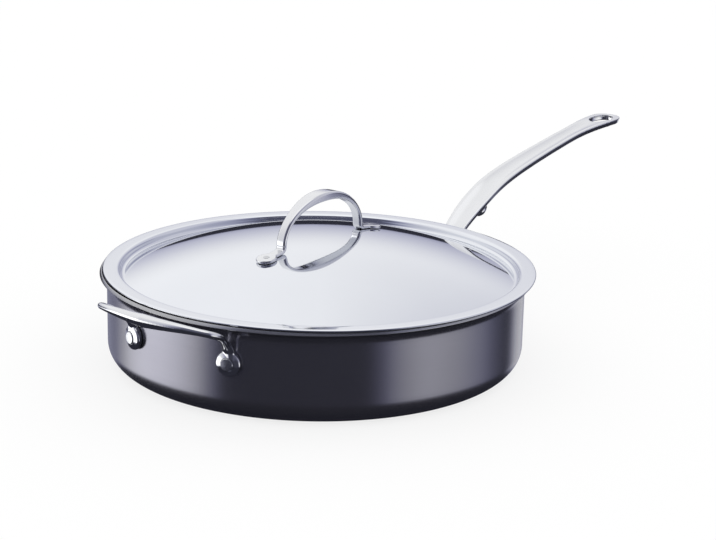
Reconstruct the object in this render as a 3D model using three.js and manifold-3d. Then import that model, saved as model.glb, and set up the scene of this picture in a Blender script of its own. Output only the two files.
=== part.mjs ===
// Covered saute pan: a clad pan with a straight wall and a flared lip, a long cast handle on one side, a
// helper loop on the other, and a domed lid with an arched handle of its own.
// Millimetres, +Z up. The origin is the centre of the base, on the surface that the pan stands on, and +X
// points along the long handle.
import * as THREE from "three";
import { mergeVertices } from "three/addons/utils/BufferGeometryUtils.js";
import Module from "manifold-3d";

const wasm = await Module();
wasm.setup();

// Fits
const seatGap = 0.3; // between two pieces that are fixed together, and under the lid
const rivetGap = 0.3; // all round a rivet in its hole
const skirtClearance = 2.65; // from the lid's skirt to the pan's wall when the lid is centred

// Pan
const panRadius = 143; // outside of the straight wall
const panHeight = 64; // to the top of the lip
const panSheet = 2.5;
const baseCorner = 15; // outside radius between the base and the wall
const lipBend = 7; // radius of the wall's outer face where it turns out into the lip
const lipTurn = 58; // degrees that the wall turns by
const lipStraight = 2; // straight width of the lip past its bend

// Lid
const lidSheet = 1.4;
const flangeBend = 1.1; // inside radius where the flange turns down into the skirt
const grooveBend = 2.6; // inside radius of the groove between the skirt and the dome
const grooveDepth = 5.5; // from the top of the flange to the floor of the groove
const domeRise = 19.2; // from the top of the flange to the top of the dome
const lidLean = -52; // degrees round from +X to the side that the lid is pushed to

// Lid handle
const archHalfSpan = 42; // from the middle to the centre line of a leg at the lid
const archRise = 30.3; // from the lid to the centre line of the arch at its top
const archWidth = 11.5; // at the top
const archThick = 6; // at the top
const archSpread = 0.2; // share of the arch, from a leg, that is still as slim as the leg
const legWidth = 7.6;
const legThick = 3.3;
const tabLength = 22.6; // from a leg's centre line to the tip of its foot
const tabWidth = 14; // across the round end of a foot
const tabThick = 2.4;
const footBend = 3; // radius of the centre line between a foot and its leg
const lidRivetRadius = 2.2;
const lidRivetHeadRadius = 4;
const lidRivetHead = 1.2; // thickness of the head under the lid

// Rivets of the pan
const rivetRadius = 3;
const rivetHeadRadius = 4.2;
const rivetHead = 1.4; // thickness
const rivetProud = 0.3; // how far a head stands out of its counterbore
const rivetChamfer = 0.4;

// Long handle
const handlePadThick = 4.5; // from the pan's wall to the pad's face
const handlePadEdge = 8; // from a rivet's centre to the pad's edge
const handleRivetSpread = 15; // from the middle to an upper rivet
const handleRivetHigh = 37; // height of the two upper rivets
const handleRivetLow = 24; // height of the lower rivet
// Top line, from inside the pad to the tip: distance out from the wall, and height.
const handleRoute = [
  [3, 37],
  [17, 50.5],
  [30, 62],
  [52, 75.2],
  [82, 87.3],
  [167, 103.3],
  [215, 109.2],
  [258, 111.2],
];
const neckWidth = 14.5; // where the handle leaves its pad
const neckReach = 60; // distance out from the wall at which the neck has become the grip
const gripWidth = 22;
const waistWidth = 18.5; // where the grip is narrowest
const waistReach = 190; // distance out from the wall of the waist
const eyeWidth = 25; // round the hanging eye
const tipFullness = 2.4; // 2 would make the tip round, and more makes it squarer
const handleEdge = 4.6; // thickness at the sides, and all round the eye
const handleThick = 6.2; // thickness in the middle of the grip
const gripDish = 1.2; // depth of the channel along the top of the grip
const edgeCut = 0.9; // bevel of the upper edges
const eyeLength = 27; // of the oval hanging eye
const eyeAcross = 16.4;
const eyeRim = 4; // from the end of the eye to the tip
const stopReach = 50; // distance out from the wall of the finger stop under the grip
const stopRadius = 4.6;
const stopLength = 19; // across the handle
const stopDepth = 6.4; // from the top line to the stop's centre
const stopStretch = 1.5; // how many times longer it is along the handle than it is deep

// Helper loop
const helperSpread = 16.2; // degrees from the middle of the loop to a rivet
const helperRivetHeight = 39;
const helperPadRadius = 8.3;
const helperPadThick = 5;
const helperNeck = 9; // from the rivets up to where a leg leaves the wall
// Centre line of a leg and its corner: distance out from the wall, across from the rivet, and up from it.
const helperRoute = [
  [3, 2.2, 16.4],
  [10, 5, 21.4],
  [19.5, 4.6, 25.6],
  [25.5, -8, 27.4],
];
const helperReach = 29.2; // from the wall to the centre line at the middle of the bar
const helperRise = 27.5; // from the rivets to the centre line at the middle of the bar
const helperWidth = 11.6; // at the middle of the bar
const helperThick = 8.4;
const helperLegWidth = 5.6; // where the bar turns into a leg
const helperLegThick = 4.4;
const helperFootWidth = 8.8; // where a leg meets its pad
const helperFootRise = 18; // from the rivets up to where a leg starts to widen towards its pad
const helperTilt = 32; // degrees that the flat of the bar and its legs leans by, towards the pan
const barCut = 0.5; // cut off each corner of a bar's section, as a share of half its thickness

// Facet counts
const roundSteps = 64;
const cornerSteps = 5;
const bendSteps = 3;
const domeSteps = 7;
const holeSteps = 16;
const sweepSteps = 40;

const acrossY = new THREE.Vector3(0, 1, 0);
const upZ = new THREE.Vector3(0, 0, 1);

function radians(degrees) {
  return THREE.MathUtils.degToRad(degrees);
}

function toSolid(geometry) {
  const bare = geometry.clone();
  bare.deleteAttribute("normal");
  bare.deleteAttribute("uv");
  const merged = mergeVertices(bare);
  return new wasm.Manifold(
    new wasm.Mesh({
      numProp: 3,
      vertProperties: merged.getAttribute("position").array,
      triVerts: new Uint32Array(merged.index.array),
    }),
  );
}

function toGeometry(solid) {
  const mesh = solid.getMesh();
  const geometry = new THREE.BufferGeometry();
  geometry.setAttribute("position", new THREE.BufferAttribute(new Float32Array(mesh.vertProperties), 3));
  geometry.setIndex(new THREE.BufferAttribute(new Uint32Array(mesh.triVerts), 1));
  geometry.computeVertexNormals();
  return geometry;
}

// Points of an arc in the plane of a turned profile, from one angle to another in degrees.
function arc(centreR, centreZ, radius, from, to, steps) {
  const points = [];
  for (let i = 0; i <= steps; i++) {
    const angle = radians(from + ((to - from) * i) / steps);
    points.push(new THREE.Vector2(centreR + radius * Math.cos(angle), centreZ + radius * Math.sin(angle)));
  }
  return points;
}

// A profile turned round the Z axis.
function turned(profile, steps) {
  return new THREE.LatheGeometry(profile, steps).rotateX(Math.PI / 2);
}

// A closed skin over a row of rings with equal numbers of points, with a flat fan over each end.
function skinned(rings) {
  const count = rings[0].length;
  const points = rings.flat();
  const index = [];
  for (let i = 0; i + 1 < rings.length; i++) {
    for (let j = 0; j < count; j++) {
      const here = i * count + j;
      const beside = i * count + ((j + 1) % count);
      index.push(here, beside, beside + count, here, beside + count, here + count);
    }
  }
  const last = (rings.length - 1) * count;
  const firstHub = points.length;
  for (const ring of [rings[0], rings.at(-1)]) {
    const hub = new THREE.Vector3();
    ring.forEach((p) => hub.addScaledVector(p, 1 / count));
    points.push(hub);
  }
  for (let j = 0; j < count; j++) {
    const next = (j + 1) % count;
    index.push(firstHub, next, j, firstHub + 1, last + j, last + next);
  }
  const geometry = new THREE.BufferGeometry().setFromPoints(points);
  geometry.setIndex(index);
  return geometry;
}

// The outline of a bar's section: a box with its corners cut.
function barSection(width, thick) {
  const w = width / 2;
  const t = thick / 2;
  const cut = Math.min(w, t) * barCut;
  const half = [
    [0, t],
    [cut - w, t],
    [-w, t - cut],
    [-w, cut - t],
    [cut - w, -t],
    [0, -t],
  ];
  return bothSides(half);
}

// The outline of the long handle's section, hung from its top line: dished above, and fuller below.
function gripSection(width, dish, thick) {
  const w = width / 2;
  const half = [
    [0, -dish],
    [(edgeCut - w) * 0.62, -dish * 0.62],
    [edgeCut - w, 0],
    [-w, -edgeCut],
    [-w, -handleEdge],
    [-w * 0.6, -handleEdge - (thick - handleEdge) * 0.7],
    [0, -thick],
  ];
  return bothSides(half);
}

// Half of an outline, from its top to its bottom, and the same on the other side.
function bothSides(half) {
  const other = half.slice(1, -1).reverse().map(([across, high]) => [-across, high]);
  return [...half, ...other];
}

// A section placed at a point of a path, square to it, with its width along the side direction.
function ringAt(point, tangent, sideHint, section) {
  const up = new THREE.Vector3().crossVectors(tangent, sideHint).normalize();
  const side = new THREE.Vector3().crossVectors(up, tangent).normalize();
  return section.map(([across, high]) =>
    point.clone().addScaledVector(side, across).addScaledVector(up, high),
  );
}

// A round bar along an axis from a start to an end, for holes and their cutters.
function roundBar(start, direction, length, radius) {
  const bar = new THREE.CylinderGeometry(radius, radius, length, holeSteps);
  bar.translate(0, length / 2, 0);
  bar.applyQuaternion(new THREE.Quaternion().setFromUnitVectors(acrossY, direction));
  return toSolid(bar.translate(start.x, start.y, start.z));
}

function smooth(value, from, to) {
  return THREE.MathUtils.smoothstep(value, from, to);
}

function named(name, geometry, material) {
  const mesh = new THREE.Mesh(geometry, material);
  mesh.name = name;
  return mesh;
}

// Finishes
const darkClad = new THREE.MeshStandardMaterial({ color: 0x4b4b55, roughness: 0.35, metalness: 1 });
const mirrorSteel = new THREE.MeshStandardMaterial({ color: 0xd9dbe0, roughness: 0.08, metalness: 1 });
const castSteel = new THREE.MeshStandardMaterial({ color: 0xd3d5da, roughness: 0.18, metalness: 1 });
const rivetSteel = new THREE.MeshStandardMaterial({ color: 0xc2c4c9, roughness: 0.25, metalness: 1 });

// Pan body: base, corner, wall and lip as one sheet of even thickness.
const lipTurnedIn = 180 - lipTurn;
const lipOut = new THREE.Vector2(Math.sin(radians(lipTurn)), Math.cos(radians(lipTurn)));
const lipEdgeZ = panHeight - panSheet * lipOut.x;
const lipBendZ = lipEdgeZ - lipStraight * lipOut.y - lipBend * lipOut.x;
const lipBendR = panRadius + lipBend;
const rimRadius = lipBendR - lipBend * lipOut.y + lipStraight * lipOut.x;
const innerRadius = panRadius - panSheet;
const cornerCentre = panRadius - baseCorner;

const panProfile = [
  new THREE.Vector2(0, 0),
  ...arc(cornerCentre, baseCorner, baseCorner, -90, 0, cornerSteps),
  ...arc(lipBendR, lipBendZ, lipBend, 180, lipTurnedIn, bendSteps),
  new THREE.Vector2(rimRadius, lipEdgeZ),
  new THREE.Vector2(rimRadius - panSheet * lipOut.y, panHeight),
  ...arc(lipBendR, lipBendZ, lipBend + panSheet, lipTurnedIn, 180, bendSteps),
  ...arc(cornerCentre, baseCorner, baseCorner - panSheet, 0, -90, cornerSteps),
  new THREE.Vector2(0, panSheet),
];

// Places of the pan's rivets: a height on the centre line of the pan, and the way out through the wall.
function rivetSeat(degrees, height) {
  const out = new THREE.Vector3(Math.cos(radians(degrees)), Math.sin(radians(degrees)), 0);
  return { out, height };
}

// The two upper rivets of the long handle sit square to the wall where they pass through it.
const upperRivetTurn = THREE.MathUtils.radToDeg(Math.asin(handleRivetSpread / panRadius));
const handleSeats = {
  handle_rivet_left: rivetSeat(upperRivetTurn, handleRivetHigh),
  handle_rivet_right: rivetSeat(-upperRivetTurn, handleRivetHigh),
  handle_rivet_lower: rivetSeat(0, handleRivetLow),
};
const helperSeats = {
  helper_rivet_left: rivetSeat(180 - helperSpread, helperRivetHeight),
  helper_rivet_right: rivetSeat(180 + helperSpread, helperRivetHeight),
};

// A cutter along a rivet's axis between two distances from the centre line of the pan.
function rivetHole(seat, from, to, radius) {
  const start = new THREE.Vector3(0, 0, seat.height).addScaledVector(seat.out, from);
  return roundBar(start, seat.out, to - from, radius);
}

function panBody() {
  let body = toSolid(turned(panProfile, roundSteps));
  const past = panSheet; // how far each cutter runs past the wall on both sides
  for (const seat of [...Object.values(handleSeats), ...Object.values(helperSeats)]) {
    body = body.subtract(rivetHole(seat, innerRadius - past, panRadius + past, rivetRadius + rivetGap));
  }
  return toGeometry(body);
}

// What the pads are cut back to: the straight wall and the gap in front of it.
const wallCutter = toSolid(
  turned(
    [
      new THREE.Vector2(0, -panHeight),
      new THREE.Vector2(panRadius + seatGap, -panHeight),
      new THREE.Vector2(panRadius + seatGap, 2 * panHeight),
      new THREE.Vector2(0, 2 * panHeight),
    ],
    roundSteps,
  ),
);

// Holes and counterbores of one pad, whose face is the given distance out from the wall.
function withRivetHoles(solid, seats, padThick) {
  const face = panRadius + padThick;
  let bored = solid;
  for (const seat of Object.values(seats)) {
    const shank = rivetHole(seat, innerRadius, face + rivetHeadRadius, rivetRadius + rivetGap);
    const headFloor = face - rivetHead + rivetProud - seatGap;
    const head = rivetHole(seat, headFloor, face + 2 * rivetHeadRadius, rivetHeadRadius + rivetGap);
    bored = bored.subtract(shank).subtract(head);
  }
  return bored;
}

// A rivet is flush with the inside of the pan, and its head sits in the pad's counterbore.
function panRivet(name, seat, padThick) {
  const headTop = panRadius + padThick + rivetProud;
  const shank = headTop - rivetHead - innerRadius;
  const length = shank + rivetHead;
  const profile = [
    new THREE.Vector2(0, 0),
    new THREE.Vector2(rivetRadius, 0),
    new THREE.Vector2(rivetRadius, shank),
    new THREE.Vector2(rivetHeadRadius, shank),
    new THREE.Vector2(rivetHeadRadius, length - rivetChamfer),
    new THREE.Vector2(rivetHeadRadius - rivetChamfer, length),
    new THREE.Vector2(0, length),
  ];
  const rivet = named(name, turned(profile, holeSteps), rivetSteel);
  rivet.quaternion.setFromUnitVectors(upZ, seat.out);
  rivet.position.copy(seat.out).multiplyScalar(innerRadius).setZ(seat.height);
  return rivet;
}

// The long handle's pad: an outline with round corners about its three rivets, square to +X.
function handlePad() {
  const outline = new THREE.Shape();
  const corners = [
    [-handleRivetSpread, handleRivetHigh],
    [0, handleRivetLow],
    [handleRivetSpread, handleRivetHigh],
  ];
  corners.forEach(([y, z], i) => {
    const [beforeY, beforeZ] = corners[(i + 2) % 3];
    const [afterY, afterZ] = corners[(i + 1) % 3];
    const from = Math.atan2(z - beforeZ, y - beforeY) - Math.PI / 2;
    const to = Math.atan2(afterZ - z, afterY - y) - Math.PI / 2;
    outline.absarc(y, z, handlePadEdge, from, to, false);
  });
  const deep = handlePadThick + baseCorner;
  const drawnOut = { depth: deep, bevelEnabled: false, curveSegments: cornerSteps };
  const pad = new THREE.ExtrudeGeometry(outline, drawnOut);
  // The outline's own x and y become +Y and +Z, and it is drawn out along +X up to the pad's face.
  pad.applyMatrix4(new THREE.Matrix4().makeBasis(acrossY, upZ, new THREE.Vector3(1, 0, 0)));
  return toSolid(pad.translate(panRadius + handlePadThick - deep, 0, 0));
}

function longHandle() {
  const route = new THREE.CatmullRomCurve3(
    handleRoute.map(([out, height]) => new THREE.Vector3(panRadius + out, 0, height)),
  );
  const length = route.getLength();
  const handleReach = handleRoute.at(-1)[0];
  const tipRadius = eyeWidth / 2;
  const rings = [];
  for (let i = 0; i <= sweepSteps; i++) {
    // Stations close up towards the tip, where the outline is round.
    const share = 1 - (1 - i / sweepSteps) ** 1.35;
    const point = route.getPointAt(share);
    const out = point.x - panRadius;
    const toTip = Math.max(length * (1 - share), tipRadius * 0.02);
    const grip = THREE.MathUtils.lerp(neckWidth, gripWidth, smooth(out, 0, neckReach));
    const waisted = THREE.MathUtils.lerp(grip, waistWidth, smooth(out, neckReach, waistReach));
    const onEye = smooth(out, waistReach, handleReach - tipRadius);
    const widened = THREE.MathUtils.lerp(waisted, eyeWidth, onEye);
    const intoTip = 1 - Math.min(toTip / tipRadius, 1);
    const rounded = (1 - intoTip ** tipFullness) ** (1 / tipFullness);
    const dish = gripDish * smooth(out, 0, neckReach) * (1 - onEye);
    const thick = THREE.MathUtils.lerp(handleThick, handleEdge, onEye);
    const section = gripSection(widened * rounded, dish, thick);
    rings.push(ringAt(point, route.getTangentAt(share), acrossY, section));
  }
  let handle = handlePad().add(toSolid(skinned(rings)));

  // Finger stop: a short bar of oval section across the underside.
  let stopShare = 0;
  while (route.getPointAt(stopShare).x < panRadius + stopReach) stopShare += 1 / length;
  const rising = route.getTangentAt(stopShare);
  const down = new THREE.Vector3().crossVectors(acrossY, rising).normalize();
  const stopCentre = route.getPointAt(stopShare).addScaledVector(down, stopDepth);
  const stop = new THREE.CapsuleGeometry(stopRadius, stopLength - 2 * stopRadius, 3, holeSteps);
  stop.scale(stopStretch, 1, 1).rotateY(-Math.atan2(rising.z, rising.x));
  handle = handle.add(toSolid(stop.translate(stopCentre.x, stopCentre.y, stopCentre.z)));

  // Hanging eye: an oval hole straight up through the end of the handle.
  const eyeHalf = eyeLength / 2;
  const eye = new THREE.CylinderGeometry(1, 1, panHeight, roundSteps / 2).rotateX(Math.PI / 2);
  eye.scale(eyeHalf, eyeAcross / 2, 1);
  eye.translate(panRadius + handleReach - eyeRim - eyeHalf, 0, handleRoute.at(-1)[1]);
  handle = handle.subtract(toSolid(eye));

  handle = withRivetHoles(handle.subtract(wallCutter), handleSeats, handlePadThick);
  return toGeometry(handle);
}

// Helper loop: round pads on the wall, and a bar that rises and reaches out between them.
function helperHandle() {
  const face = panRadius + helperPadThick;
  const padMiddle = panRadius + helperPadThick / 2;
  const padX = padMiddle * Math.cos(radians(helperSpread));
  const padY = padMiddle * Math.sin(radians(helperSpread));
  const half = [
    new THREE.Vector3(-padX, padY, helperRivetHeight),
    new THREE.Vector3(-padX, padY, helperRivetHeight + helperNeck),
    ...helperRoute.map(
      ([out, across, rise]) => new THREE.Vector3(-panRadius - out, padY + across, helperRivetHeight + rise),
    ),
  ];
  const mirrored = half.map((p) => new THREE.Vector3(p.x, -p.y, p.z)).reverse();
  const middle = new THREE.Vector3(-panRadius - helperReach, 0, helperRivetHeight + helperRise);
  const route = new THREE.CatmullRomCurve3([...half, middle, ...mirrored]);
  const tilt = radians(helperTilt);
  const above = new THREE.Vector3(Math.sin(tilt), 0, Math.cos(tilt));
  const rings = [];
  for (let i = 0; i <= sweepSteps; i++) {
    const tangent = route.getTangentAt(i / sweepSteps);
    const point = route.getPointAt(i / sweepSteps);
    const side = new THREE.Vector3().crossVectors(above, tangent).normalize();
    const onLeg = Math.min(Math.abs(point.y) / padY, 1);
    const onFoot = 1 - THREE.MathUtils.smoothstep(point.z - helperRivetHeight, helperNeck, helperFootRise);
    const slim = THREE.MathUtils.lerp(helperWidth, helperLegWidth, onLeg);
    const wide = THREE.MathUtils.lerp(slim, helperFootWidth, onFoot);
    const thick = THREE.MathUtils.lerp(helperThick, helperLegThick, onLeg);
    rings.push(ringAt(point, tangent, side, barSection(wide, thick)));
  }
  let helper = toSolid(skinned(rings));
  for (const seat of Object.values(helperSeats)) {
    helper = helper.add(rivetHole(seat, panRadius - helperPadThick, face, helperPadRadius));
  }
  helper = withRivetHoles(helper.subtract(wallCutter), helperSeats, helperPadThick);
  return toGeometry(helper);
}

// Lid: flange, skirt, groove and dome as one sheet. The dome's radius makes it meet the groove smoothly.
const flangeTop = panHeight + seatGap + lidSheet;
const flangeBendTop = flangeBend + lidSheet;
const skirtInner = innerRadius - skirtClearance - lidSheet;
const flangeBendR = skirtInner + flangeBendTop;
const flangeBendZ = flangeTop - flangeBendTop;
const grooveR = skirtInner - grooveBend;
const grooveZ = flangeTop - grooveDepth + grooveBend;
const domeTop = flangeTop + domeRise;
const grooveDrop = domeTop - grooveZ;
const domeRadius = (grooveR ** 2 + grooveDrop ** 2 - grooveBend ** 2) / (2 * (grooveBend + grooveDrop));
const domeZ = domeTop - domeRadius;
const domeEdge = THREE.MathUtils.radToDeg(Math.asin(grooveR / (domeRadius + grooveBend)));

// One side of the lid's sheet, from the middle to the edge, the given depth below its upper face.
function lidSide(depth) {
  return [
    ...arc(0, domeZ, domeRadius - depth, 90, 90 - domeEdge, domeSteps).slice(0, -1),
    ...arc(grooveR, grooveZ, grooveBend + depth, -90 - domeEdge, 0, cornerSteps),
    ...arc(flangeBendR, flangeBendZ, flangeBendTop - depth, 180, 90, bendSteps),
    new THREE.Vector2(rimRadius, flangeTop - depth),
  ];
}

// Where a foot of the lid handle sits: a point on the dome, and the way up from it.
function onDome(x) {
  const lean = Math.asin(x / domeRadius);
  const up = new THREE.Vector3(Math.sin(lean), 0, Math.cos(lean));
  return { up, point: new THREE.Vector3(0, 0, domeZ).addScaledVector(up, domeRadius) };
}

const tabMiddle = archHalfSpan + tabLength - tabWidth / 2;
const lidRivetSeats = { lid_rivet_front: onDome(tabMiddle), lid_rivet_back: onDome(-tabMiddle) };

function lidShell() {
  const profile = [...lidSide(lidSheet), ...lidSide(0).reverse()];
  let lid = toSolid(turned(profile, roundSteps));
  for (const { up, point } of Object.values(lidRivetSeats)) {
    const start = point.clone().addScaledVector(up, -3 * lidSheet);
    lid = lid.subtract(roundBar(start, up, 6 * lidSheet, lidRivetRadius + rivetGap));
  }
  return toGeometry(lid);
}

// Lid handle: a foot, a leg and half of the arch, and the same again on the other side.
function lidHandle() {
  const lift = seatGap + tabThick / 2;
  const onTab = (x) => {
    const { up, point } = onDome(x);
    return point.addScaledVector(up, lift);
  };
  const tip = archHalfSpan + tabLength;
  const root = onTab(archHalfSpan);
  const half = new THREE.CurvePath();
  const bendStart = onTab(archHalfSpan + footBend);
  half.add(new THREE.LineCurve3(onTab(tip), bendStart));
  const legFoot = new THREE.Vector3(archHalfSpan, 0, root.z + footBend);
  half.add(new THREE.QuadraticBezierCurve3(bendStart, root, legFoot));
  const archTop = new THREE.Vector3(0, 0, root.z + archRise);
  // A quarter of an oval, as a cubic curve.
  const pull = 0.5523;
  const besideLeg = new THREE.Vector3(archHalfSpan, 0, legFoot.z + pull * (archTop.z - legFoot.z));
  const besideTop = new THREE.Vector3(archHalfSpan * pull, 0, archTop.z);
  half.add(new THREE.CubicBezierCurve3(legFoot, besideLeg, besideTop, archTop));
  const length = half.getLength();
  const endRadius = tabWidth / 2;
  const archFrom = THREE.MathUtils.lerp(tabLength + footBend, length, archSpread);
  const rings = [];
  for (let i = 0; i <= sweepSteps; i++) {
    const share = (i / sweepSteps) ** 1.25;
    const point = half.getPointAt(share);
    const along = share * length;
    const onLeg = smooth(along, tabLength - 2 * footBend, tabLength + footBend);
    const onArch = smooth(along, archFrom, length);
    // The end of a foot is a disc, and the slim part starts where it is as wide as that.
    const fromMiddle = Math.min(Math.max(along, endRadius * 0.02), tabWidth) - endRadius;
    const disc = 2 * Math.sqrt(endRadius ** 2 - fromMiddle ** 2);
    const legWide = fromMiddle > 0 ? Math.max(disc, legWidth) : disc;
    const wide = THREE.MathUtils.lerp(legWide, archWidth, onArch);
    const thick = THREE.MathUtils.lerp(THREE.MathUtils.lerp(tabThick, legThick, onLeg), archThick, onArch);
    rings.push(ringAt(point, half.getTangentAt(share), acrossY, barSection(wide, thick)));
  }
  const mirrored = rings.slice(0, -1).map((ring) => ring.map((p) => new THREE.Vector3(-p.x, p.y, p.z)));
  let handle = toSolid(skinned([...rings, ...mirrored.reverse()]));
  for (const { up, point } of Object.values(lidRivetSeats)) {
    handle = handle.subtract(roundBar(point, up, 3 * tabThick, lidRivetRadius + rivetGap));
  }
  return toGeometry(handle);
}

// A lid rivet: its head lies under the lid, and its shank ends level with the top of the foot.
function lidRivet(name, { up, point }) {
  const under = lidSheet + seatGap + lidRivetHead;
  const length = under + seatGap + tabThick;
  const profile = [
    new THREE.Vector2(0, 0),
    new THREE.Vector2(lidRivetHeadRadius - rivetChamfer, 0),
    new THREE.Vector2(lidRivetHeadRadius, rivetChamfer),
    new THREE.Vector2(lidRivetHeadRadius, lidRivetHead),
    new THREE.Vector2(lidRivetRadius, lidRivetHead),
    new THREE.Vector2(lidRivetRadius, length),
    new THREE.Vector2(0, length),
  ];
  const rivet = named(name, turned(profile, holeSteps), rivetSteel);
  rivet.quaternion.setFromUnitVectors(upZ, up);
  rivet.position.copy(point).addScaledVector(up, -under);
  return rivet;
}

const pan = new THREE.Group();
pan.add(named("pan_body", panBody(), darkClad));
pan.add(named("long_handle", longHandle(), castSteel));
pan.add(named("helper_handle", helperHandle(), castSteel));
for (const [name, seat] of Object.entries(handleSeats)) pan.add(panRivet(name, seat, handlePadThick));
for (const [name, seat] of Object.entries(helperSeats)) pan.add(panRivet(name, seat, helperPadThick));

// The lid lies as far over to one side as its skirt lets it.
const cover = new THREE.Group();
const lidShift = skirtClearance - seatGap;
cover.position.set(lidShift * Math.cos(radians(lidLean)), lidShift * Math.sin(radians(lidLean)), 0);
cover.add(named("lid", lidShell(), mirrorSteel));
cover.add(named("lid_handle", lidHandle(), castSteel));
for (const [name, seat] of Object.entries(lidRivetSeats)) cover.add(lidRivet(name, seat));

const coveredPan = new THREE.Group();
coveredPan.add(pan, cover);

export default coveredPan;
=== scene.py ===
import math

import bmesh
import bpy
import numpy as np
from mathutils import Matrix, Vector


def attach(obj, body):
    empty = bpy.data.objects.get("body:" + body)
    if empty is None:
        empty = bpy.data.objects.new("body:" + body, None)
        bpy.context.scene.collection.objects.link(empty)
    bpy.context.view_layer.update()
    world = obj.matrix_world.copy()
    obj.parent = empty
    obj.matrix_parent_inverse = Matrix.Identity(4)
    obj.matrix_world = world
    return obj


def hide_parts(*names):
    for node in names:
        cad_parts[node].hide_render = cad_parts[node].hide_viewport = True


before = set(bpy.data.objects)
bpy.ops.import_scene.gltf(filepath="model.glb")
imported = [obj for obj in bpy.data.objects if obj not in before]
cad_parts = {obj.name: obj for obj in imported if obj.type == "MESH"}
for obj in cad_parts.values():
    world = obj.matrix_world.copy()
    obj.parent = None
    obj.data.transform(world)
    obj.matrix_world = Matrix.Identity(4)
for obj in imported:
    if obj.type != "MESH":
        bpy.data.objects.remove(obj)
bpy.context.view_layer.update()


# Pan body: base, corner, wall and flared lip, drawn from one sheet of clad steel and coated dark grey.
# The lip is trimmed after coating, so bare steel shows along its cut edge. The pan stands on its flat
# base, and both handles are riveted through its wall.
PAN_RADIUS = 0.143  # outside of the straight wall
PAN_HEIGHT = 0.064
PAN_SHEET = 0.0025
BASE_CORNER = 0.015
LIP_BEND = 0.007
LIP_TURN = 58  # degrees that the wall turns by
LIP_STRAIGHT = 0.002
LIP_EASE = 0.0004  # radius on the two corners of the cut edge
SEAT_GAP = 0.0003  # between two pieces that are fixed together
TURN_STEPS = 256
PAN_SPACING = 0.007  # between the points of the profile, at most
LATHE_ROUND = 9  # how fine the turning marks are round the pan, and across them
LATHE_ACROSS = 1100
EDGE_BARE = (0.0005, 0.0003)  # how deep the bare steel of the cut edge goes, fading out
WORN_RISE = (0.0002, 0.0016)  # how high the worn ring round the base goes, fading out
COATING_GREY = (0.262, 0.259, 0.302, 1)
COOKING_GREY = (0.36, 0.358, 0.372, 1)
CUT_STEEL = (0.42, 0.422, 0.44, 1)


class Wire:
    """One output of a node in a shape's or a finish's tree. Sums on it add Math nodes to that tree."""

    def __init__(self, socket):
        self.socket = socket

    @classmethod
    def node(cls, tree, kind, settings=None, inputs=None, output=0):
        made = tree.nodes.new(kind)
        for name, value in (settings or {}).items():
            if name == "stops":
                elements = made.color_ramp.elements
                while len(elements) > 1:
                    elements.remove(elements[-1])
                for count, (position, grey) in enumerate(value):
                    stop = elements.new(position) if count else elements[0]
                    stop.position = position
                    stop.color = (grey, grey, grey, 1)
            elif name == "cases":
                while len(made.index_switch_items) < value:
                    made.index_switch_items.new()
            else:
                setattr(made, name, value)
        for key, value in (inputs or {}).items():
            if isinstance(value, cls):
                tree.links.new(value.socket, made.inputs[key])
            else:
                made.inputs[key].default_value = value
        return cls(made.outputs[output]) if len(made.outputs) else None

    def beside(self, name):
        """Another output of the same node."""
        return Wire(self.socket.node.outputs[name])

    def sum(self, operation, *values):
        tree = self.socket.id_data
        return Wire.node(tree, "ShaderNodeMath", {"operation": operation}, dict(enumerate(values)))

    def eased(self, low, high):
        """From 0 at low to 1 at high, with no corner at either."""
        settings = {"interpolation_type": "SMOOTHSTEP"}
        return Wire.node(self.socket.id_data, "ShaderNodeMapRange", settings, {0: self, 1: low, 2: high})

    def __add__(self, other):
        return self.sum("ADD", self, other)

    def __radd__(self, other):
        return self.sum("ADD", other, self)

    def __sub__(self, other):
        return self.sum("SUBTRACT", self, other)

    def __rsub__(self, other):
        return self.sum("SUBTRACT", other, self)

    def __mul__(self, other):
        return self.sum("MULTIPLY", self, other)

    def __rmul__(self, other):
        return self.sum("MULTIPLY", other, self)

    def __truediv__(self, other):
        return self.sum("DIVIDE", self, other)

    def __pow__(self, other):
        return self.sum("POWER", self, other)


def arc(centre_r, centre_z, radius, start, stop, steps):
    """Points of an arc in the plane of a turned profile, from one angle to another in degrees."""
    turns = np.radians(np.linspace(start, stop, steps + 1))
    return [(centre_r + radius * math.cos(t), centre_z + radius * math.sin(t)) for t in turns]


def filled(profile, spacing):
    """A profile with more points along its straights, closest together at their ends."""
    points = [profile[0]]
    for before, after in zip(profile, profile[1:]):
        length = math.dist(before, after)
        if length < 1e-7:
            continue
        cuts = max(1, math.ceil(length / spacing))
        for k in range(1, cuts + 1):
            share = (1 - math.cos(math.pi * k / cuts)) / 2
            points.append(tuple(a + share * (b - a) for a, b in zip(before, after)))
    return points


def blank_tree(name, outcome, **inputs):
    """A node tree for a shape, with a named input for each value, and its group input."""
    tree = bpy.data.node_groups.new(name, "GeometryNodeTree")
    tree.interface.new_socket(outcome, in_out="OUTPUT", socket_type="NodeSocketGeometry")
    for label, kind in inputs.items():
        tree.interface.new_socket(label, in_out="INPUT", socket_type="NodeSocket" + kind)
    return tree, Wire.node(tree, "NodeGroupInput")


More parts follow.
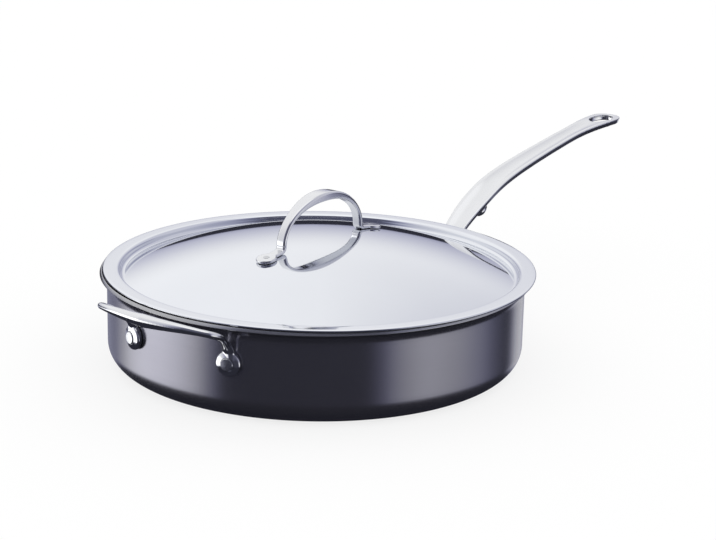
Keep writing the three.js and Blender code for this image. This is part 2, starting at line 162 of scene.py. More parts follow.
def turned_rows(tree, rows, steps, radius_of, height_of):
    """A grid whose rows are turned into rings round +Z, with its seam and its poles closed."""
    columns = steps + 1
    index = Wire.node(tree, "GeometryNodeInputIndex")
    row = index.sum("FLOOR", index / columns)
    turn = (index - row * columns) * (2 * math.pi) / steps
    radius = radius_of(row)
    height = height_of(row)
    place = Wire.node(tree, "ShaderNodeCombineXYZ", None, {
        "X": radius * turn.sum("COSINE", turn),
        "Y": radius * turn.sum("SINE", turn),
        "Z": height,
    })
    grid = Wire.node(tree, "GeometryNodeMeshGrid", None, {"Vertices X": rows, "Vertices Y": columns})
    bent = Wire.node(tree, "GeometryNodeSetPosition", None, {"Geometry": grid, "Position": place})
    return Wire.node(tree, "GeometryNodeMergeByDistance", None, {"Geometry": bent, "Distance": 1e-6})


def ended(tree, shape, finish):
    coated = Wire.node(tree, "GeometryNodeSetMaterial", None, {"Geometry": shape, "Material": finish})
    Wire.node(tree, "NodeGroupOutput", None, {0: coated})
    return tree


def turned_sheet():
    """The tree of a turned piece: its object's own points are the profile, in order."""
    tree, profile = blank_tree("turned_sheet", "Sheet", Profile="Geometry", Steps="Int", Finish="Material")
    settings = {"component": "MESH"}
    rows = Wire.node(tree, "GeometryNodeAttributeDomainSize", settings, {0: profile}, "Point Count")
    position = Wire.node(tree, "GeometryNodeInputPosition")

    def sampled(row):
        settings = {"data_type": "FLOAT_VECTOR", "domain": "POINT"}
        values = {"Geometry": profile, "Value": position, "Index": row}
        point = Wire.node(tree, "GeometryNodeSampleIndex", settings, values)
        return Wire.node(tree, "ShaderNodeSeparateXYZ", None, {0: point})

    sheet = turned_rows(tree, rows, profile.beside("Steps"), sampled, lambda row: sampled(row).beside("Z"))
    return ended(tree, sheet, profile.beside("Finish"))


def outward(mesh, sharp):
    """Closes a mesh, turns its faces outwards, and marks edges over the given angle as sharp."""
    shape = bmesh.new()
    shape.from_mesh(mesh)
    bmesh.ops.remove_doubles(shape, verts=shape.verts, dist=1e-7)
    bmesh.ops.recalc_face_normals(shape, faces=shape.faces)
    for face in shape.faces:
        face.smooth = True
    shape.to_mesh(mesh)
    shape.free()
    mesh.set_sharp_from_angle(angle=math.radians(sharp))


def settled(piece, sharp=40):
    """Turns what a piece's modifiers make into its own plain mesh."""
    graph = bpy.context.evaluated_depsgraph_get()
    mesh = bpy.data.meshes.new_from_object(piece.evaluated_get(graph), depsgraph=graph)
    piece.modifiers.clear()
    piece.data = mesh
    mesh.name = piece.name
    outward(mesh, sharp)
    return piece


def placed(name, points, faces=()):
    mesh = bpy.data.meshes.new(name)
    mesh.from_pydata([tuple(p) for p in points], [], [tuple(f) for f in faces])
    piece = bpy.data.objects.new(name, mesh)
    bpy.context.scene.collection.objects.link(piece)
    return piece


def shaped_by(piece, tree, **values):
    modifier = piece.modifiers.new(tree.name, "NODES")
    modifier.node_group = tree
    for label, value in values.items():
        modifier[tree.interface.items_tree[label].identifier] = value
    return settled(piece)


def blank_finish(name):
    finish = bpy.data.materials.new(name)
    finish.use_nodes = True
    finish.node_tree.nodes.clear()
    return finish, finish.node_tree


def mixed(share, first, second):
    """A colour between two others."""
    settings = {"data_type": "RGBA"}
    return Wire.node(share.socket.id_data, "ShaderNodeMix", settings, {0: share, 6: first, 7: second}, 2)


def clouded(share, colour, dimmest):
    """A colour that is dimmed in patches, down to a share of itself."""
    return mixed(share, tuple(dimmest * c for c in colour[:3]) + (1,), colour)


def noise(vector, scale, detail=2.0):
    inputs = {"Vector": vector, "Scale": scale, "Detail": detail}
    return Wire.node(vector.socket.id_data, "ShaderNodeTexNoise", None, inputs)


def bumped(height, distance, strength):
    inputs = {"Height": height, "Distance": distance, "Strength": strength}
    return Wire.node(height.socket.id_data, "ShaderNodeBump", None, inputs)


def metal(tree, **inputs):
    inputs = {"Metallic": 1.0, **{label.replace("_", " "): value for label, value in inputs.items()}}
    surface = Wire.node(tree, "ShaderNodeBsdfPrincipled", None, inputs)
    Wire.node(tree, "ShaderNodeOutputMaterial", None, {"Surface": surface})


def turned_places(tree):
    """Object coordinates, the distance from +Z, the height, and a vector that runs along lathe marks."""
    place = Wire.node(tree, "ShaderNodeTexCoord", output="Object")
    x = Wire.node(tree, "ShaderNodeSeparateXYZ", None, {0: place})
    y, z = x.beside("Y"), x.beside("Z")
    out = (x * x + y * y) ** 0.5
    marks = Wire.node(tree, "ShaderNodeCombineXYZ", None, {
        "X": x * LATHE_ROUND,
        "Y": y * LATHE_ROUND,
        "Z": (out + z) * LATHE_ACROSS,
    })
    return place, out, z, marks


lip_out = math.sin(math.radians(LIP_TURN))
lip_up = math.cos(math.radians(LIP_TURN))
lip_edge_z = PAN_HEIGHT - PAN_SHEET * lip_out
lip_bend_r = PAN_RADIUS + LIP_BEND
lip_bend_z = lip_edge_z - LIP_STRAIGHT * lip_up - LIP_BEND * lip_out
rim_radius = lip_bend_r - LIP_BEND * lip_up + LIP_STRAIGHT * lip_out
corner_r = PAN_RADIUS - BASE_CORNER

# Along the lip is lip_out, lip_up; square to it, from its outer face to its inner one, is -lip_up, lip_out.
ease_low = (rim_radius - LIP_EASE * (lip_out + lip_up), lip_edge_z + LIP_EASE * (lip_out - lip_up))
ease_high = (
    ease_low[0] - (PAN_SHEET - 2 * LIP_EASE) * lip_up,
    ease_low[1] + (PAN_SHEET - 2 * LIP_EASE) * lip_out,
)
pan_profile = filled(
    [(0, 0)]
    + arc(corner_r, BASE_CORNER, BASE_CORNER, -90, 0, 18)
    + arc(lip_bend_r, lip_bend_z, LIP_BEND, 180, 180 - LIP_TURN, 10)
    + arc(*ease_low, LIP_EASE, -LIP_TURN, 90 - LIP_TURN, 4)
    + arc(*ease_high, LIP_EASE, 90 - LIP_TURN, 180 - LIP_TURN, 4)
    + arc(lip_bend_r, lip_bend_z, LIP_BEND + PAN_SHEET, 180 - LIP_TURN, 180, 10)
    + arc(corner_r, BASE_CORNER, BASE_CORNER - PAN_SHEET, 0, -90, 18)
    + [(0, PAN_SHEET)],
    spacing=PAN_SPACING,
)

dark_coating, tree = blank_finish("dark_coating")
place, out, height, marks = turned_places(tree)
# The cooking side is all that lies nearer the corner's centre line than the middle of the sheet.
past_corner = out.sum("MAXIMUM", out - corner_r, 0)
under_corner = height.sum("MAXIMUM", BASE_CORNER - height, 0)
off_corner = (past_corner ** 2 + under_corner ** 2) ** 0.5
cooking = 1 - off_corner.eased(BASE_CORNER - 0.6 * PAN_SHEET, BASE_CORNER - 0.4 * PAN_SHEET)
cut_reach = rim_radius * lip_out + lip_edge_z * lip_up
cut_edge = (out * lip_out + height * lip_up).eased(cut_reach - EDGE_BARE[0], cut_reach - EDGE_BARE[1])
lines = noise(marks, 1.0, 3.0)
cloud = noise(place, 22.0, 3.0)
worn_ring = (1 - height.eased(*WORN_RISE)) * (1 - cooking) * noise(place, 260.0).eased(0.45, 0.75)
shade = clouded(cloud.eased(0.3, 0.7), COATING_GREY, 0.95)
shade = mixed(cooking, shade, COOKING_GREY)
shade = mixed(worn_ring * 0.5, shade, CUT_STEEL)
shade = mixed(cut_edge, shade, CUT_STEEL)
metal(
    tree,
    Base_Color=shade,
    Metallic=0.92,
    Roughness=0.235 + 0.05 * (lines - 0.5) + 0.04 * (cloud - 0.5) + 0.1 * cooking - 0.03 * cut_edge,
    Anisotropic=0.55,
    Anisotropic_Rotation=0.25,
    Normal=bumped(lines, 0.00001, 0.12),
)

sheet_tree = turned_sheet()
pan = placed("drawn_pan", [(r, 0, z) for r, z in pan_profile])
shaped_by(pan, sheet_tree, Steps=TURN_STEPS, Finish=dark_coating)
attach(pan, "pan")
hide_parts("pan_body")


# Long handle: cast stainless steel, polished all over. A three-cornered pad lies on the wall, and a bar
# rises from it, dished along its top, with a finger stop under it and a hanging eye near its round tip.
# Three rivets hold the pad.
PAD_THICK = 0.0045
PAD_EDGE = 0.008  # from a rivet's centre to the pad's edge
PAD_EASE = 0.0018
PAD_RIVETS = ((-0.015, 0.037), (0, 0.024), (0.015, 0.037))  # across and up
HANDLE_ROUTE = (  # top line of the bar: out from the wall, and height
    (0.0008, 0.0315), (0.003, 0.037), (0.017, 0.0505), (0.030, 0.062), (0.052, 0.0752),
    (0.082, 0.0873), (0.167, 0.1033), (0.215, 0.1092), (0.258, 0.1112),
)
HANDLE_RINGS = 260
TIP_CLOSING = 1.35  # how much the rings close up towards the tip
TIP_LEAST = 0.01  # share of the tip's radius at which its last ring lies
CURVE_STEPS = 60  # on a smooth line, from one of its given points to the next
ROOT_SPREAD = 0.009  # how much wider the bar is where it meets its pad
ROOT_REACH = 0.013
HALF_LAP = 0.0004  # that each half of the bar goes past the middle
NECK_WIDTH = 0.0145
NECK_REACH = 0.060
GRIP_WIDTH = 0.022
WAIST_WIDTH = 0.0185  # where the grip is narrowest
WAIST_REACH = 0.190
EYE_WIDTH = 0.025
TIP_FULLNESS = 2.4  # 2 would make the tip round, and more makes it squarer
BAR_EDGE = 0.0046  # thickness at the sides, and all round the eye
BAR_THICK = 0.0062  # thickness in the middle of the grip
GRIP_DISH = 0.0012
DISH_SHARE = 0.74  # of the grip's width, between two flat rims
EDGE_CUT = 0.0006
EDGE_LEAN = 0.0013  # that the sides lean in by towards the underside
EYE_LENGTH = 0.027
EYE_ACROSS = 0.0164
EYE_RIM = 0.004
STOP_REACH = 0.050
STOP_RADIUS = 0.0046
STOP_LENGTH = 0.019
STOP_DEPTH = 0.0064
STOP_STRETCH = 1.5  # how many times longer the stop is along the handle than it is deep
ASKEW = (0.31, 0.17, 0.93)  # a way that no rivet and no round form runs
RIVET_RADIUS = 0.003
RIVET_HEAD_RADIUS = 0.0042
RIVET_HEAD = 0.0014
RIVET_PROUD = 0.0003
BORE_END = 0.17  # from the pan's axis to a place in front of every pad
HANDLE_VOXEL = 0.00045  # the size of the cells in which the skins run together
POLISH_FACTOR = 0.5
POLISH_ROUNDS = 3
CAST_CREASE = 38  # degrees, over which an edge of a casting stays sharp
CAST_STEEL = (0.735, 0.742, 0.762, 1)


def smooth(value, low, high):
    share = np.clip((value - low) / (high - low), 0, 1)
    return share * share * (3 - 2 * share)


def flow(points, count, closing=1.0):
    """Points on a smooth line through the given ones, the way it runs at each, and how far along it is.
    A closing over 1 brings them together towards the end."""
    points = np.asarray(points, float)
    ends = np.vstack([2 * points[0] - points[1], points, 2 * points[-1] - points[-2]])
    gaps = np.linalg.norm(np.diff(ends, axis=0), axis=1) ** 0.5
    t = np.linspace(0, 1, CURVE_STEPS, endpoint=False)[:, None]
    dense = []
    for i in range(len(points) - 1):
        p0, p1, p2, p3 = ends[i:i + 4]
        d0, d1, d2 = gaps[i:i + 3]
        leave = ((p1 - p0) / d0 - (p2 - p0) / (d0 + d1) + (p2 - p1) / d1) * d1
        arrive = ((p2 - p1) / d1 - (p3 - p1) / (d1 + d2) + (p3 - p2) / d2) * d1
        dense.append(
            p1 * (2 * t ** 3 - 3 * t ** 2 + 1) + leave * (t ** 3 - 2 * t ** 2 + t)
            + p2 * (3 * t ** 2 - 2 * t ** 3) + arrive * (t ** 3 - t ** 2)
        )
    return spaced(np.vstack([*dense, points[-1:]]), count, closing)


def spaced(dense, count, closing=1.0):
    along = np.concatenate([[0], np.cumsum(np.linalg.norm(np.diff(dense, axis=0), axis=1))])
    places = (1 - (1 - np.linspace(0, 1, count)) ** closing) * along[-1]
    slopes = np.gradient(dense, along, axis=0)
    line = np.column_stack([np.interp(places, along, dense[:, k]) for k in range(3)])
    ways = np.column_stack([np.interp(places, along, slopes[:, k]) for k in range(3)])
    return line, ways / np.linalg.norm(ways, axis=1)[:, None], places


def ringed(point, way, side, outline):
    """An outline of across and up, set square to a line at a point, with its width along a side."""
    up = np.cross(way, side)
    up /= np.linalg.norm(up)
    outline = np.asarray(outline)
    return point + outline[:, :1] * np.cross(up, way) + outline[:, 1:] * up


def skin(rings):
    """Points and faces of a closed skin over a row of rings, with a fan over each end."""
    rings = np.asarray(rings, float)
    count = rings.shape[1]
    last = (len(rings) - 1) * count
    points = np.vstack([rings.reshape(-1, 3), rings[0].mean(0), rings[-1].mean(0)])
    faces = []
    for j in range(count):
        k = (j + 1) % count
        faces += [(at + j, at + k, at + count + k, at + count + j) for at in range(0, last, count)]
        faces += [(len(points) - 2, k, j), (len(points) - 1, last + j, last + k)]
    return points, faces


def gathered(name, skins):
    """One piece of several skins."""
    points, faces = [], []
    for more_points, more_faces in skins:
        faces += [[index + len(points) for index in face] for face in more_faces]
        points += list(more_points)
    piece = placed(name, points, faces)
    outward(piece.data, 180)
    return piece


def seat_way(degrees):
    return np.array([math.cos(math.radians(degrees)), math.sin(math.radians(degrees)), 0.0])


def round_rings(start, way, stations, steps=48):
    """Circles round a line, each given by how far along it is and its radius."""
    way = np.asarray(way, float)
    side = np.cross(way, ASKEW)
    side /= np.linalg.norm(side)
    up = np.cross(way, side)
    turns = np.linspace(0, 2 * math.pi, steps, endpoint=False)[:, None]
    return [start + at * way + radius * (np.cos(turns) * side + np.sin(turns) * up) for at, radius in stations]


def fused(piece, voxel, seats, pad_thick, finish):
    """Runs overlapping skins together as a casting, rounds its corners, and bores a seat for each rivet."""
    remesh = piece.modifiers.new("run_together", "REMESH")
    remesh.mode = "VOXEL"
    remesh.voxel_size = voxel
    remesh.use_smooth_shade = True
    polish = piece.modifiers.new("polish", "SMOOTH")
    polish.factor = POLISH_FACTOR
    polish.iterations = POLISH_ROUNDS
    floor = PAN_RADIUS + pad_thick - RIVET_HEAD + RIVET_PROUD - SEAT_GAP
    stations = [(at, RIVET_HEAD_RADIUS + SEAT_GAP) for at in (floor, BORE_END)]
    bores = gathered(
        piece.name + "_bores", [skin(round_rings((0, 0, height), way, stations)) for way, height in seats],
    )
    bore = piece.modifiers.new("bore", "BOOLEAN")
    bore.operation = "DIFFERENCE"
    bore.solver = "MANIFOLD"
    bore.object = bores
    settled(piece, CAST_CREASE)
    bpy.data.objects.remove(bores)
    piece.data.materials.clear()
    piece.data.materials.append(finish)


def grip_outline(half, dish, thick, inner):
    """One side of the bar's section, from the inner line out along the top and back along the underside."""
    cut = min(EDGE_CUT, 0.45 * half)
    flat = half - cut
    top = [(y, -dish * (1 - min(abs(y) / (DISH_SHARE * flat), 1) ** 2)) for y in np.linspace(inner, flat, 20)]
    bevel = [(half - cut + cut * math.sin(t), -cut + cut * math.cos(t)) for t in np.radians([22, 45, 67])]
    lean = min(EDGE_LEAN, 0.3 * half)
    edge = [(half - lean * share, -cut - share * (BAR_EDGE - cut)) for share in (0, 0.5, 1)]
    deep = thick - BAR_EDGE
    foot = half - lean
    under = [(y, -BAR_EDGE - deep * (1 - (y / foot) ** 2)) for y in np.linspace(foot, inner, 15)[1:]]
    return np.array(top + bevel + edge + under)


handle_points = [(PAN_RADIUS + out, 0, up) for out, up in HANDLE_ROUTE]
handle_line, handle_ways, handle_along = flow(handle_points, HANDLE_RINGS, TIP_CLOSING)
handle_tip = PAN_RADIUS + HANDLE_ROUTE[-1][0]
tip_radius = EYE_WIDTH / 2
eye_half = EYE_LENGTH / 2
eye_middle = handle_tip - EYE_RIM - eye_half
side_rings = []
for point, way, along in zip(handle_line, handle_ways, handle_along):
    reach = point[0] - PAN_RADIUS
    to_tip = max(handle_along[-1] - along, tip_radius * TIP_LEAST)
    width = NECK_WIDTH + (GRIP_WIDTH - NECK_WIDTH) * smooth(reach, 0, NECK_REACH)
    width += (WAIST_WIDTH - width) * smooth(reach, NECK_REACH, WAIST_REACH)
    on_eye = smooth(reach, WAIST_REACH, HANDLE_ROUTE[-1][0] - tip_radius)
    width += (EYE_WIDTH - width) * on_eye
    # Near the pad the bar spreads, as a casting does where it meets a plate.
    width += ROOT_SPREAD * (1 - smooth(reach, 0, ROOT_REACH))
    rounded = (1 - (1 - min(to_tip / tip_radius, 1)) ** TIP_FULLNESS) ** (1 / TIP_FULLNESS)
    dish = GRIP_DISH * smooth(reach, 0, NECK_REACH) * (1 - on_eye)
    thick = BAR_THICK + (BAR_EDGE - BAR_THICK) * on_eye
    past = abs(point[0] - eye_middle) / eye_half
    inner = EYE_ACROSS / 2 * math.sqrt(1 - past ** 2) if past < 1 else -HALF_LAP
    side_rings.append(ringed(point, way, (0, 1, 0), grip_outline(width * rounded / 2, dish, thick, inner)))
far_rings = [ring * (1, -1, 1) for ring in side_rings]


def pad_ring(edge, depth, shrink=1.0):
    """The pad's outline about its rivets, at a depth in front of the wall, or on the wall's own curve."""
    corners = np.array(PAD_RIVETS)
    turns = np.linspace(0, 2 * math.pi, 96, endpoint=False)
    normals = np.column_stack([np.cos(turns), np.sin(turns)])
    outline = corners[np.argmax(normals @ corners.T, axis=1)] + edge * normals
    outline = corners.mean(0) + shrink * (outline - corners.mean(0))
    wall = np.sqrt((PAN_RADIUS + SEAT_GAP) ** 2 - outline[:, 0] ** 2)
    x = np.full(len(turns), PAN_RADIUS + depth) if depth else wall
    return np.column_stack([x, outline])


eases = np.radians(np.linspace(0, 90, 7))
handle_pad = skin(
    [pad_ring(PAD_EDGE, 0, share) for share in (0.05, 0.35, 0.65, 0.9, 1.0)]
    + [
        pad_ring(PAD_EDGE - PAD_EASE * (1 - math.cos(t)), PAD_THICK - PAD_EASE * (1 - math.sin(t)))
        for t in eases
    ]
    + [pad_ring(PAD_EDGE - PAD_EASE, PAD_THICK, share) for share in (0.5, 0.05)]
)
at_stop = int(np.argmin(np.abs(handle_line[:, 0] - PAN_RADIUS - STOP_REACH)))
stop_middle = handle_line[at_stop] + STOP_DEPTH * np.cross((0, 1, 0), handle_ways[at_stop])
stop_half = STOP_LENGTH / 2 - STOP_RADIUS
stop_turns = np.radians(range(6, 91, 12))
rounding = [(-stop_half - STOP_RADIUS * math.cos(t), STOP_RADIUS * math.sin(t)) for t in stop_turns]
stop_rings = round_rings(stop_middle, (0, 1, 0), rounding + [(-at, r) for at, r in reversed(rounding)])
rising = handle_ways[at_stop]
finger_stop = skin([
    ring + (STOP_STRETCH - 1) * ((ring - stop_middle) @ rising)[:, None] * rising for ring in stop_rings
])

cast_steel, tree = blank_finish("polished_casting")
place = Wire.node(tree, "ShaderNodeTexCoord", output="Object")
waves = noise(place, 130.0, 1.0)
drawn_out = Wire.node(tree, "ShaderNodeMapping", None, {"Vector": place, "Scale": (60, 900, 900)})
hairlines = noise(drawn_out, 1.0)
haze = noise(place, 45.0, 4.0)
metal(
    tree,
    Base_Color=clouded(haze.eased(0.35, 0.7), CAST_STEEL, 0.97),
    Roughness=0.125 + 0.05 * (haze - 0.5) + 0.05 * (hairlines - 0.5),
    Normal=bumped(waves + 0.06 * hairlines, 0.00012, 0.12),
)

handle_seats = [
    (seat_way(math.degrees(math.asin(across / PAN_RADIUS))), height) for across, height in PAD_RIVETS
]
long_handle = gathered("cast_long_handle", [skin(side_rings), skin(far_rings), handle_pad, finger_stop])
fused(long_handle, HANDLE_VOXEL, handle_seats, PAD_THICK, cast_steel)
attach(long_handle, "pan")
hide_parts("long_handle")


# Helper handle: a cast and polished stainless loop opposite the long handle. Its legs grow out of two
# round pads on the wall, rise, spread a little and meet in a bar that is slightly bowed outwards.
# One rivet goes through each pad.
HELPER_SPREAD = 16.2  # degrees from the middle of the loop to a rivet
HELPER_HEIGHT = 0.039
HELPER_PAD_RADIUS = 0.0083
HELPER_PAD_THICK = 0.005
HELPER_PAD_EASE = 0.0016
HELPER_PAD_DOME = 0.0012  # from the middle of a pad's face down to its edge
HELPER_NECK = 0.009
HELPER_ROUTE = (  # out from the wall, across from the rivet, and up from it
    (0.003, 0.0022, 0.0164), (0.010, 0.005, 0.0214), (0.0195, 0.0046, 0.0256), (0.0255, -0.008, 0.0274),
)
HELPER_REACH = 0.0292
HELPER_RISE = 0.0275
HELPER_WIDTH = 0.0116
HELPER_THICK = 0.0084
HELPER_LEG_WIDTH = 0.0056
HELPER_LEG_THICK = 0.0044
HELPER_FOOT_WIDTH = 0.0088  # where a leg meets its pad
HELPER_FOOT_RISE = 0.018  # from the rivets up to where a leg starts to widen towards its pad
HELPER_RINGS = 220
HELPER_VOXEL = 0.0004
HELPER_TILT = math.radians(32)  # that the flat of the bar and its legs leans by, towards the pan


def oval(width, thick):
    turns = np.linspace(0, 2 * math.pi, 40, endpoint=False)
    return np.column_stack([width / 2 * np.cos(turns), thick / 2 * np.sin(turns)])


pad_middle = PAN_RADIUS + HELPER_PAD_THICK / 2
pad_x = pad_middle * math.cos(math.radians(HELPER_SPREAD))
pad_y = pad_middle * math.sin(math.radians(HELPER_SPREAD))
leg = [(-pad_x, pad_y, HELPER_HEIGHT), (-pad_x, pad_y, HELPER_HEIGHT + HELPER_NECK)]
leg += [(-PAN_RADIUS - out, pad_y + across, HELPER_HEIGHT + up) for out, across, up in HELPER_ROUTE]
loop_middle = (-PAN_RADIUS - HELPER_REACH, 0, HELPER_HEIGHT + HELPER_RISE)
loop = leg + [loop_middle] + [(x, -y, z) for x, y, z in reversed(leg)]
helper_rings = []
for point, way, _ in zip(*flow(loop, HELPER_RINGS)):
    on_leg = min(abs(point[1]) / pad_y, 1)
    at_foot = 1 - smooth(point[2] - HELPER_HEIGHT, HELPER_NECK, HELPER_FOOT_RISE)
    width = HELPER_WIDTH + (HELPER_LEG_WIDTH - HELPER_WIDTH) * on_leg
    width += (HELPER_FOOT_WIDTH - width) * at_foot
    thick = HELPER_THICK + (HELPER_LEG_THICK - HELPER_THICK) * on_leg
    side = np.cross((math.sin(HELPER_TILT), 0, math.cos(HELPER_TILT)), way)
    helper_rings.append(ringed(point, way, side / np.linalg.norm(side), oval(width, thick)))

helper_seats = [(seat_way(180 + turn), HELPER_HEIGHT) for turn in (-HELPER_SPREAD, HELPER_SPREAD)]
pad_face = PAN_RADIUS + HELPER_PAD_THICK
face_edge = pad_face - HELPER_PAD_DOME
face_radius = HELPER_PAD_RADIUS - HELPER_PAD_EASE
pad_stations = [(PAN_RADIUS + SEAT_GAP, HELPER_PAD_RADIUS)] + [
    (face_edge - HELPER_PAD_EASE * (1 - math.sin(t)), face_radius + HELPER_PAD_EASE * math.cos(t))
    for t in eases
] + [
    (pad_face - HELPER_PAD_DOME * share ** 2, face_radius * share)
    for share in (0.85, 0.7, 0.5, 0.3, 0.05)
]
helper_pads = [skin(round_rings((0, 0, height), way, pad_stations)) for way, height in helper_seats]
helper = gathered("cast_helper_loop", [skin(helper_rings), *helper_pads])
fused(helper, HELPER_VOXEL, helper_seats, HELPER_PAD_THICK, cast_steel)
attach(helper, "pan")
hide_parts("helper_handle")


# Pan rivets: turned stainless steel. Three hold the long handle and two hold the helper loop. Each has a
# flat head let into its pad, a shank through the wall, and an end set nearly flush inside the pan.
RIVET_EDGE = 0.0004
RIVET_CROWN = 0.0002
RIVET_STEPS = 40
TURNING_MARKS = 16000  # radians of the fine rings per metre out from a rivet's axis
RIVET_STEEL = (0.60, 0.608, 0.63, 1)


def seated_rivets():
    """The tree of a set of rivets: each point of the object is the end of a rivet, which runs its own way."""
    tree, seats = blank_tree(
        "seated_rivets", "Rivets", Seats="Geometry", Shank="Float", Head="Float", Thick="Float", Edge="Float",
        Crown="Float", Steps="Int", Finish="Material",
    )
    labels = ("Shank", "Head", "Thick", "Edge", "Crown")
    shank, head, thick, edge, crown = (seats.beside(label) for label in labels)

    def named(label, kind="FLOAT"):
        return Wire.node(tree, "GeometryNodeInputNamedAttribute", {"data_type": kind}, {"Name": label})

    # One rivet is a unit long below its head, and each is then drawn out to its own length.
    radii = (0, shank * 0.6, shank, shank, head, head, head - edge, head * 0.5, 0)
    heights = (
        -1 * crown, crown * -0.7, 0, 1, 1,
        1 + thick - edge, 1 + thick, 1 + thick + 0.6 * crown, 1 + thick + crown,
    )

    def chosen(values):
        return lambda row: Wire.node(
            tree, "GeometryNodeIndexSwitch", {"data_type": "FLOAT", "cases": len(values)},
            {"Index": row, **{place + 1: value for place, value in enumerate(values)}},
        )

    rivet = turned_rows(tree, len(radii), seats.beside("Steps"), chosen(radii), chosen(heights))
    spot = Wire.node(tree, "ShaderNodeSeparateXYZ", None, {0: Wire.node(tree, "GeometryNodeInputPosition")})
    across = spot.beside("Y")
    off_axis = (spot * spot + across * across) ** 0.5
    for label, value in (("off_axis", off_axis), ("upward", spot.beside("Z"))):
        rivet = Wire.node(
            tree, "GeometryNodeStoreNamedAttribute", {"data_type": "FLOAT", "domain": "POINT"},
            {"Geometry": rivet, "Name": label, "Value": value},
        )
    way = named("way", "FLOAT_VECTOR")
    lean = Wire.node(tree, "FunctionNodeAlignRotationToVector", {"axis": "Z"}, {"Vector": way})
    stood = Wire.node(
        tree, "GeometryNodeInstanceOnPoints", None, {"Points": seats, "Instance": rivet, "Rotation": lean},
    )
    whole = Wire.node(tree, "GeometryNodeRealizeInstances", None, {"Geometry": stood})
    # What lies above the unit of shank stays as it is, and the shank takes the length of its seat.
    upward = named("upward")
    drawn = upward.sum("MINIMUM", upward.sum("MAXIMUM", upward, 0), 1) * (named("length") - 1)
    shift = Wire.node(tree, "ShaderNodeVectorMath", {"operation": "SCALE"}, {0: way, "Scale": drawn})
    fitted = Wire.node(tree, "GeometryNodeSetPosition", None, {"Geometry": whole, "Offset": shift})
    return ended(tree, fitted, seats.beside("Finish"))


def rivet_set(name, seats, **sizes):
    """A set of rivets from the end, the way and the length below the head of each."""
    piece = placed(name, [end for end, _, _ in seats])
    ways = piece.data.attributes.new("way", "FLOAT_VECTOR", "POINT")
    ways.data.foreach_set("vector", np.array([way for _, way, _ in seats], np.float32).ravel())
    lengths = piece.data.attributes.new("length", "FLOAT", "POINT")
    lengths.data.foreach_set("value", np.array([length for _, _, length in seats], np.float32))
    return shaped_by(piece, rivet_tree, **sizes)


rivet_steel, tree = blank_finish("turned_rivet_steel")
place = Wire.node(tree, "ShaderNodeTexCoord", output="Object")
off_axis = Wire.node(tree, "ShaderNodeAttribute", {"attribute_name": "off_axis"}, output="Fac")
rings = off_axis.sum("SINE", off_axis * TURNING_MARKS)
specks = noise(place, 700.0)
metal(
    tree,
    Base_Color=clouded(specks.eased(0.3, 0.75), RIVET_STEEL, 0.9),
    Roughness=0.21 + 0.03 * rings + 0.06 * (specks - 0.5),
    Normal=bumped(rings + specks, 0.00001, 0.2),
)

rivet_tree = seated_rivets()
pan_seats = []
for seats, pad_thick in ((handle_seats, PAD_THICK), (helper_seats, HELPER_PAD_THICK)):
    for way, height in seats:
        start = PAN_RADIUS - PAN_SHEET
        below_head = PAN_RADIUS + pad_thick + RIVET_PROUD - RIVET_HEAD - start
        pan_seats.append((start * way + (0, 0, height), way, below_head))
pan_rivets = rivet_set(
    "pan_rivets", pan_seats, Shank=RIVET_RADIUS, Head=RIVET_HEAD_RADIUS, Thick=RIVET_HEAD, Edge=RIVET_EDGE,
    Crown=RIVET_CROWN, Steps=RIVET_STEPS, Finish=rivet_steel,
)
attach(pan_rivets, "pan")
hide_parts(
    "handle_rivet_left", "handle_rivet_right", "handle_rivet_lower", "helper_rivet_left",
    "helper_rivet_right",
)


# Lid: one sheet of stainless steel pressed into a flange, a short skirt, a groove and a shallow dome, and
# polished to a mirror. It lies loose on the pan's lip, pushed over as far as its skirt allows.
LID_SHEET = 0.0014
SKIRT_CLEARANCE = 0.00265
FLANGE_BEND = 0.0011
GROOVE_BEND = 0.0026
GROOVE_DEPTH = 0.0055
DOME_RISE = 0.0192
LID_LEAN = -52  # degrees round from +X to the side that the lid is pushed to
FLANGE_EASE = 0.00065
LID_SPACING = 0.003  # between the points of the profile, at most
MIRROR_STEEL = (0.745, 0.762, 0.805, 1)

flange_top = PAN_HEIGHT + SEAT_GAP + LID_SHEET
skirt_inner = PAN_RADIUS - PAN_SHEET - SKIRT_CLEARANCE - LID_SHEET
bend_top = FLANGE_BEND + LID_SHEET
bend_r = skirt_inner + bend_top
groove_r = skirt_inner - GROOVE_BEND
groove_z = flange_top - GROOVE_DEPTH + GROOVE_BEND
dome_top = flange_top + DOME_RISE
groove_drop = dome_top - groove_z
dome_radius = (groove_r ** 2 + groove_drop ** 2 - GROOVE_BEND ** 2) / (2 * (GROOVE_BEND + groove_drop))
dome_z = dome_top - dome_radius
dome_edge = math.degrees(math.asin(groove_r / (dome_radius + GROOVE_BEND)))
lid_shift = (SKIRT_CLEARANCE - SEAT_GAP) * seat_way(LID_LEAN)


def lid_side(depth):
    """One face of the lid from the middle to the flange, the given depth below its upper face."""
    return (
        arc(0, dome_z, dome_radius - depth, 90, 90 - dome_edge, 40)
        + arc(groove_r, groove_z, GROOVE_BEND + depth, -90 - dome_edge, 0, 14)
        + arc(bend_r, flange_top - bend_top, bend_top - depth, 180, 90, 10)
    )


lid_profile = filled(
    lid_side(LID_SHEET)
    + arc(rim_radius - FLANGE_EASE, flange_top - LID_SHEET + FLANGE_EASE, FLANGE_EASE, -90, 0, 4)
    + arc(rim_radius - FLANGE_EASE, flange_top - FLANGE_EASE, FLANGE_EASE, 0, 90, 4)
    + lid_side(0)[::-1],
    spacing=LID_SPACING,
)

